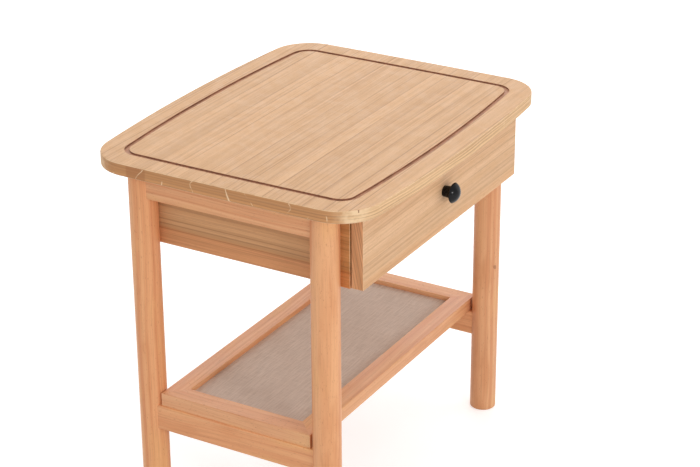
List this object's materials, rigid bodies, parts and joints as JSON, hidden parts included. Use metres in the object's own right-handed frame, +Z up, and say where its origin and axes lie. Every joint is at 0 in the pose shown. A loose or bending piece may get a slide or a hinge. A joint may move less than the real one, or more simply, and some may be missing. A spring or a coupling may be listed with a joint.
{
  "type": "side table",
  "caption": "Side table with round legs, a sliding drawer with a round knob, a framed lower shelf and a bowed-edge top.",
  "frame": {"origin": "on the floor, under the middle of the table top", "axes": "+X to the right when the drawer faces you (the width), -Y out of the drawer front, +Z up"},
  "size_m": [0.558, 0.451, 0.54],
  "materials": {
    "oak_veneer": "satin",
    "beech": "satin",
    "dowel_wood": "matte",
    "drawer_wood": "satin",
    "thin_board": "satin",
    "woven_panel": "matte",
    "black_lacquer": "gloss",
    "zinc_steel": "satin"
  },
  "bodies": {
    "frame": {"case_back": "oak_veneer", "case_bottom": "thin_board", "case_dowels": "dowel_wood", "case_screws": "zinc_steel", "case_side_left": "oak_veneer", "case_side_right": "oak_veneer", "leg_back_left": "beech", "leg_back_right": "beech", "leg_front_left": "beech", "leg_front_right": "beech", "rail_dowels": "dowel_wood", "shelf_mitre_dowels": "dowel_wood", "shelf_panel": "woven_panel", "shelf_rail_back": "beech", "shelf_rail_front": "beech", "shelf_rail_left": "beech", "shelf_rail_right": "beech", "shelf_screws": "zinc_steel", "side_rail_left": "beech", "side_rail_right": "beech", "slide_case_member_left": "zinc_steel", "slide_case_member_right": "zinc_steel", "slide_case_screws": "zinc_steel", "stretcher_dowels": "dowel_wood", "stretcher_left": "beech", "stretcher_right": "beech", "table_top": "oak_veneer", "top_screws": "zinc_steel"},
    "drawer": {"drawer_front": "oak_veneer", "drawer_box_front": "drawer_wood", "drawer_box_back": "drawer_wood", "drawer_box_left": "drawer_wood", "drawer_box_right": "drawer_wood", "drawer_bottom": "thin_board", "knob": "black_lacquer", "knob_screw": "zinc_steel", "drawer_box_dowels": "dowel_wood", "drawer_front_screws": "zinc_steel", "slide_drawer_member_left": "zinc_steel", "slide_drawer_member_right": "zinc_steel", "slide_drawer_screws": "zinc_steel"},
    "ball_cage_left": {"slide_ball_cage_left": "zinc_steel"},
    "ball_cage_right": {"slide_ball_cage_right": "zinc_steel"}
  },
  "joints": [
    {"name": "drawer_slide", "type": "slide", "parent": "frame", "child": "drawer", "axis": [0, -1, 0], "range_m": [0, 0.225]},
    {"name": "ball_cage_slide_left", "type": "slide", "parent": "frame", "child": "ball_cage_left", "axis": [0, -1, 0], "range_m": [0, 0.1125]},
    {"name": "ball_cage_slide_right", "type": "slide", "parent": "frame", "child": "ball_cage_right", "axis": [0, -1, 0], "range_m": [0, 0.1125]}
  ],
  "couplings": [
    {"joint": "ball_cage_slide_left", "follows": "drawer_slide", "ratio": 0.5},
    {"joint": "ball_cage_slide_right", "follows": "drawer_slide", "ratio": 0.5}
  ]
}
